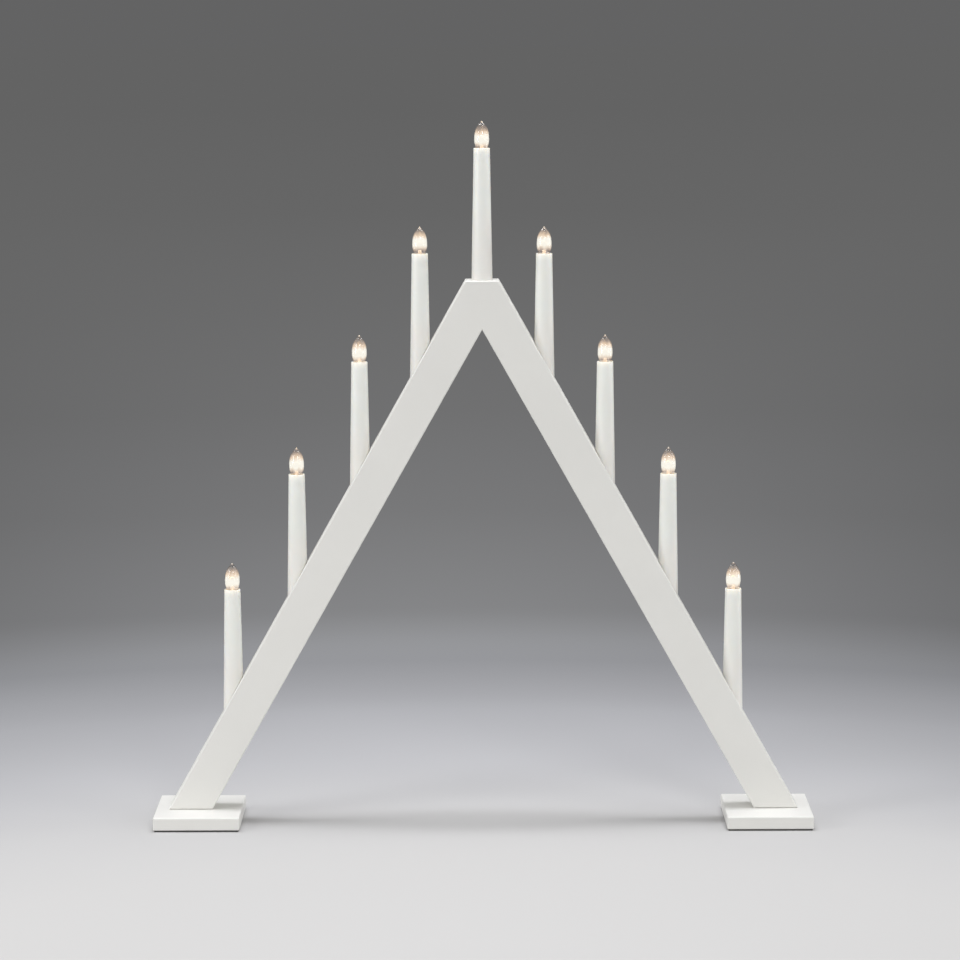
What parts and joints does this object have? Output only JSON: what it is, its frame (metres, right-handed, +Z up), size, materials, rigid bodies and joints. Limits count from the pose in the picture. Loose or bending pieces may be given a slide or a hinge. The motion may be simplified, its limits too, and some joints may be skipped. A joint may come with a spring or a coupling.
{
  "type": "electric candlestick",
  "caption": "White lacquered wooden arch like an upside-down V on flat foot plates, with upright electric candles and screw-in flame bulbs stepped up both slopes and on its flat top.",
  "frame": {"origin": "on the ground under the middle of the arch", "axes": "+X to the viewer's right along the arch, +Y towards the back, +Z up along the candles"},
  "size_m": [0.66, 0.1, 0.7044],
  "materials": {
    "lacquered_wood": "satin white lacquer on close-grained wood",
    "bare_beech": "bare wood",
    "sleeve_plastic": "half-gloss white, slightly translucent",
    "holder_plastic": "moulded off-white",
    "bulb_glass": "clear thin glass",
    "filament": "lit wire on a glass stem",
    "cap_brass": "bright",
    "screw_steel": "zinc plated",
    "felt": "dark felt",
    "wire_insulation": "off-white",
    "gland_rubber": "off-white"
  },
  "bodies": {
    "stand": {"left_beam": "lacquered_wood", "right_beam": "lacquered_wood", "mitre_biscuit": "bare_beech", "left_channel_cover": "lacquered_wood", "right_channel_cover": "lacquered_wood", "cord_gland": "gland_rubber", "wiring_loom": "wire_insulation", "left_foot": "lacquered_wood", "right_foot": "lacquered_wood", "left_foot_pad": "felt", "right_foot_pad": "felt", "left_foot_screw_1": "screw_steel", "left_foot_screw_2": "screw_steel", "right_foot_screw_1": "screw_steel", "right_foot_screw_2": "screw_steel", "candle_1_sleeve": "sleeve_plastic", "candle_1_lampholder": "holder_plastic", "candle_2_sleeve": "sleeve_plastic", "candle_2_lampholder": "holder_plastic", "candle_3_sleeve": "sleeve_plastic", "candle_3_lampholder": "holder_plastic", "candle_4_sleeve": "sleeve_plastic", "candle_4_lampholder": "holder_plastic", "candle_5_sleeve": "sleeve_plastic", "candle_5_lampholder": "holder_plastic", "candle_6_sleeve": "sleeve_plastic", "candle_6_lampholder": "holder_plastic", "candle_7_sleeve": "sleeve_plastic", "candle_7_lampholder": "holder_plastic", "candle_8_sleeve": "sleeve_plastic", "candle_8_lampholder": "holder_plastic", "candle_9_sleeve": "sleeve_plastic", "candle_9_lampholder": "holder_plastic"},
    "bulb_1_envelope": {"bulb_1_glass": "bulb_glass"},
    "bulb_2_envelope": {"bulb_2_glass": "bulb_glass"},
    "bulb_3_envelope": {"bulb_3_glass": "bulb_glass"},
    "bulb_4_envelope": {"bulb_4_glass": "bulb_glass"},
    "bulb_5_envelope": {"bulb_5_glass": "bulb_glass"},
    "bulb_6_envelope": {"bulb_6_glass": "bulb_glass"},
    "bulb_7_envelope": {"bulb_7_glass": "bulb_glass"},
    "bulb_8_envelope": {"bulb_8_glass": "bulb_glass"},
    "bulb_9_envelope": {"bulb_9_glass": "bulb_glass"},
    "bulb_1_core": {"bulb_1_cap": "cap_brass", "bulb_1_filament": "filament"},
    "bulb_2_core": {"bulb_2_cap": "cap_brass", "bulb_2_filament": "filament"},
    "bulb_3_core": {"bulb_3_cap": "cap_brass", "bulb_3_filament": "filament"},
    "bulb_4_core": {"bulb_4_cap": "cap_brass", "bulb_4_filament": "filament"},
    "bulb_5_core": {"bulb_5_cap": "cap_brass", "bulb_5_filament": "filament"},
    "bulb_6_core": {"bulb_6_cap": "cap_brass", "bulb_6_filament": "filament"},
    "bulb_7_core": {"bulb_7_cap": "cap_brass", "bulb_7_filament": "filament"},
    "bulb_8_core": {"bulb_8_cap": "cap_brass", "bulb_8_filament": "filament"},
    "bulb_9_core": {"bulb_9_cap": "cap_brass", "bulb_9_filament": "filament"}
  },
  "joints": [
    {"name": "bulb_1_rise", "type": "slide", "parent": "stand", "child": "bulb_1_envelope", "axis": [0, 0, 1], "range_m": [0, 0.00726]},
    {"name": "bulb_1_turn", "type": "hinge", "parent": "bulb_1_envelope", "child": "bulb_1_core", "pos_m": [-0.25106, 0, 0.23747], "axis": [0, 0, 1], "range_deg": [0, 1440]},
    {"name": "bulb_2_rise", "type": "slide", "parent": "stand", "child": "bulb_2_envelope", "axis": [0, 0, 1], "range_m": [0, 0.00726]},
    {"name": "bulb_2_turn", "type": "hinge", "parent": "bulb_2_envelope", "child": "bulb_2_core", "pos_m": [-0.18544, 0, 0.35393], "axis": [0, 0, 1], "range_deg": [0, 1440]},
    {"name": "bulb_3_rise", "type": "slide", "parent": "stand", "child": "bulb_3_envelope", "axis": [0, 0, 1], "range_m": [0, 0.00726]},
    {"name": "bulb_3_turn", "type": "hinge", "parent": "bulb_3_envelope", "child": "bulb_3_core", "pos_m": [-0.12205, 0, 0.46644], "axis": [0, 0, 1], "range_deg": [0, 1440]},
    {"name": "bulb_4_rise", "type": "slide", "parent": "stand", "child": "bulb_4_envelope", "axis": [0, 0, 1], "range_m": [0, 0.00726]},
    {"name": "bulb_4_turn", "type": "hinge", "parent": "bulb_4_envelope", "child": "bulb_4_core", "pos_m": [-0.0615, 0, 0.5739], "axis": [0, 0, 1], "range_deg": [0, 1440]},
    {"name": "bulb_5_rise", "type": "slide", "parent": "stand", "child": "bulb_5_envelope", "axis": [0, 0, 1], "range_m": [0, 0.00726]},
    {"name": "bulb_5_turn", "type": "hinge", "parent": "bulb_5_envelope", "child": "bulb_5_core", "pos_m": [0, 0, 0.6778], "axis": [0, 0, 1], "range_deg": [0, 1440]},
    {"name": "bulb_6_rise", "type": "slide", "parent": "stand", "child": "bulb_6_envelope", "axis": [0, 0, 1], "range_m": [0, 0.00726]},
    {"name": "bulb_6_turn", "type": "hinge", "parent": "bulb_6_envelope", "child": "bulb_6_core", "pos_m": [0.0615, 0, 0.5739], "axis": [0, 0, 1], "range_deg": [0, 1440]},
    {"name": "bulb_7_rise", "type": "slide", "parent": "stand", "child": "bulb_7_envelope", "axis": [0, 0, 1], "range_m": [0, 0.00726]},
    {"name": "bulb_7_turn", "type": "hinge", "parent": "bulb_7_envelope", "child": "bulb_7_core", "pos_m": [0.12205, 0, 0.46644], "axis": [0, 0, 1], "range_deg": [0, 1440]},
    {"name": "bulb_8_rise", "type": "slide", "parent": "stand", "child": "bulb_8_envelope", "axis": [0, 0, 1], "range_m": [0, 0.00726]},
    {"name": "bulb_8_turn", "type": "hinge", "parent": "bulb_8_envelope", "child": "bulb_8_core", "pos_m": [0.18544, 0, 0.35393], "axis": [0, 0, 1], "range_deg": [0, 1440]},
    {"name": "bulb_9_rise", "type": "slide", "parent": "stand", "child": "bulb_9_envelope", "axis": [0, 0, 1], "range_m": [0, 0.00726]},
    {"name": "bulb_9_turn", "type": "hinge", "parent": "bulb_9_envelope", "child": "bulb_9_core", "pos_m": [0.25106, 0, 0.23747], "axis": [0, 0, 1], "range_deg": [0, 1440]}
  ],
  "couplings": [
    {"joint": "bulb_1_turn", "follows": "bulb_1_rise", "rad_per_m": 3463.7},
    {"joint": "bulb_2_turn", "follows": "bulb_2_rise", "rad_per_m": 3463.7},
    {"joint": "bulb_3_turn", "follows": "bulb_3_rise", "rad_per_m": 3463.7},
    {"joint": "bulb_4_turn", "follows": "bulb_4_rise", "rad_per_m": 3463.7},
    {"joint": "bulb_5_turn", "follows": "bulb_5_rise", "rad_per_m": 3463.7},
    {"joint": "bulb_6_turn", "follows": "bulb_6_rise", "rad_per_m": 3463.7},
    {"joint": "bulb_7_turn", "follows": "bulb_7_rise", "rad_per_m": 3463.7},
    {"joint": "bulb_8_turn", "follows": "bulb_8_rise", "rad_per_m": 3463.7},
    {"joint": "bulb_9_turn", "follows": "bulb_9_rise", "rad_per_m": 3463.7}
  ]
}
